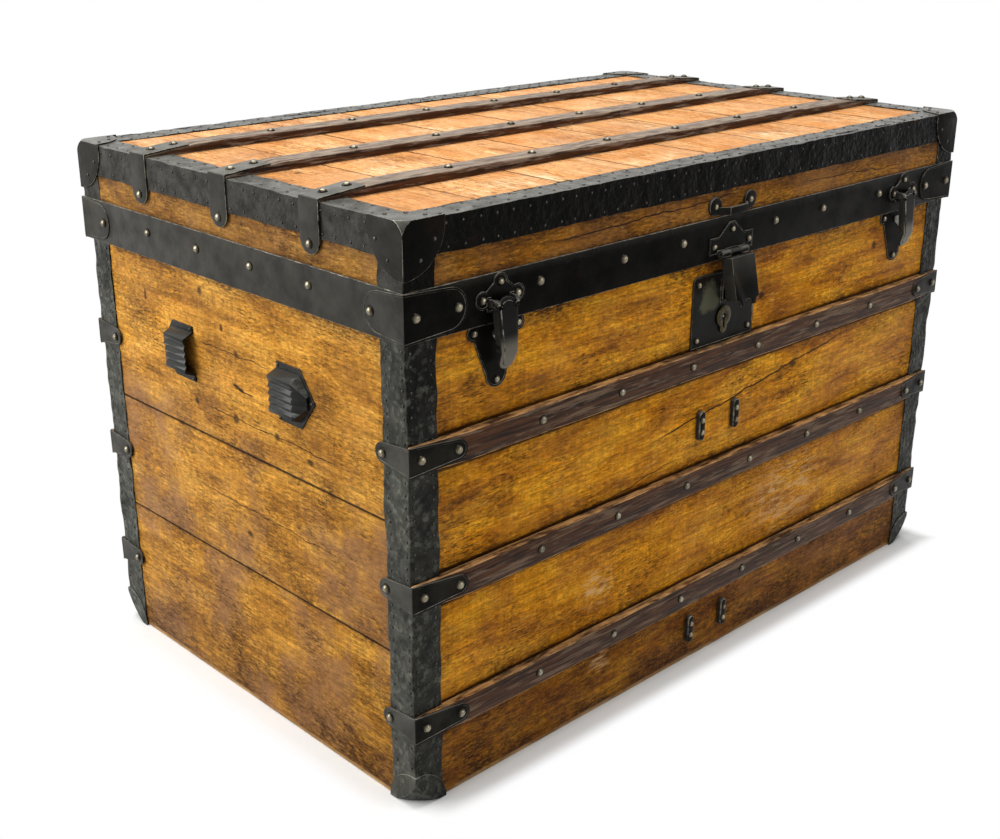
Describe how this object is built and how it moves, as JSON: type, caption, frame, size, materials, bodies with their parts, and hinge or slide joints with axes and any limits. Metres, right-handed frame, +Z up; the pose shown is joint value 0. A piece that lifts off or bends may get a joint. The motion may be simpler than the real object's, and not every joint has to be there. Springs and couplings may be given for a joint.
{
  "type": "travel trunk",
  "caption": "Flat-lidded wooden travel trunk with hardwood slats, iron corner straps and caps, a hasp lock, spring latches and a hinged lid.",
  "frame": {"origin": "on the floor, under the middle of the box", "axes": "+X along the width to the right of someone facing the lock, -Y out of the front with the lock and latches, +Z up"},
  "size_m": [0.907, 0.5841, 0.5907],
  "materials": {
    "box_wood": "aged amber varnish",
    "lid_wood": "faded varnish",
    "slat_wood": "dark stain, worn",
    "black_iron": "black japanned sheet iron, worn",
    "rivet_steel": "dull nickelled steel",
    "escutcheon_brass": "tarnished"
  },
  "bodies": {
    "trunk_box": {"front_boards": "box_wood", "back_boards": "box_wood", "left_end_boards": "box_wood", "right_end_boards": "box_wood", "bottom_panel": "box_wood", "front_slat_upper": "slat_wood", "front_slat_middle": "slat_wood", "front_slat_lower": "slat_wood", "back_slat_upper": "slat_wood", "back_slat_middle": "slat_wood", "back_slat_lower": "slat_wood", "corner_angles": "black_iron", "slat_corner_clamps": "black_iron", "bottom_corner_caps": "black_iron", "left_front_handle_cap": "black_iron", "left_back_handle_cap": "black_iron", "right_front_handle_cap": "black_iron", "right_back_handle_cap": "black_iron", "front_cleats": "black_iron", "lock_plate": "black_iron", "latch_plate_left": "black_iron", "latch_plate_right": "black_iron", "hinge_lower_leaves": "black_iron", "slat_rivets": "rivet_steel", "clamp_rivets": "rivet_steel", "handle_cap_nails": "rivet_steel", "fitting_rivets": "rivet_steel", "hinge_pins": "rivet_steel", "lock_case": "rivet_steel", "lock_spring": "rivet_steel", "lock_key_post": "rivet_steel", "latch_catch_left": "rivet_steel", "latch_catch_right": "rivet_steel", "keyhole_escutcheon": "escutcheon_brass"},
    "lid": {"lid_top_boards": "lid_wood", "lid_front_rail": "lid_wood", "lid_back_rail": "lid_wood", "lid_left_rail": "lid_wood", "lid_right_rail": "lid_wood", "hinge_upper_leaves": "black_iron", "lid_edge_trims": "black_iron", "lid_corner_angles": "black_iron", "lid_bands": "black_iron", "band_corner_clips": "black_iron", "lid_corner_caps": "black_iron", "top_slat_front": "slat_wood", "top_slat_middle": "slat_wood", "top_slat_back": "slat_wood", "top_slat_straps": "black_iron", "lid_rivets": "rivet_steel", "lid_lift_bracket": "black_iron", "hasp_hinge_plate": "black_iron", "hasp_pin": "rivet_steel", "latch_pins": "rivet_steel", "latch_keeper_left": "black_iron", "latch_keeper_right": "black_iron"},
    "hasp": {"hasp_leaf": "black_iron"},
    "latch_left": {"latch_tongue_left": "black_iron"},
    "latch_right": {"latch_tongue_right": "black_iron"},
    "lock_bolt": {"lock_bolt": "rivet_steel"}
  },
  "joints": [
    {"name": "lid_hinge", "type": "hinge", "parent": "trunk_box", "child": "lid", "pos_m": [0, 0.278, 0.474], "axis": [-1, 0, 0], "range_deg": [0, 100]},
    {"name": "hasp_swing", "type": "hinge", "parent": "lid", "child": "hasp", "pos_m": [0, -0.278, 0.481], "axis": [-1, 0, 0], "range_deg": [-12, 105]},
    {"name": "latch_left_swing", "type": "hinge", "parent": "lid", "child": "latch_left", "pos_m": [-0.335, -0.2812, 0.494], "axis": [-1, 0, 0], "range_deg": [-4, 100]},
    {"name": "latch_right_swing", "type": "hinge", "parent": "lid", "child": "latch_right", "pos_m": [0.335, -0.2812, 0.494], "axis": [-1, 0, 0], "range_deg": [-4, 100]},
    {"name": "lock_bolt_slide", "type": "slide", "parent": "trunk_box", "child": "lock_bolt", "axis": [1, 0, 0], "range_m": [0, 0.008]}
  ]
}
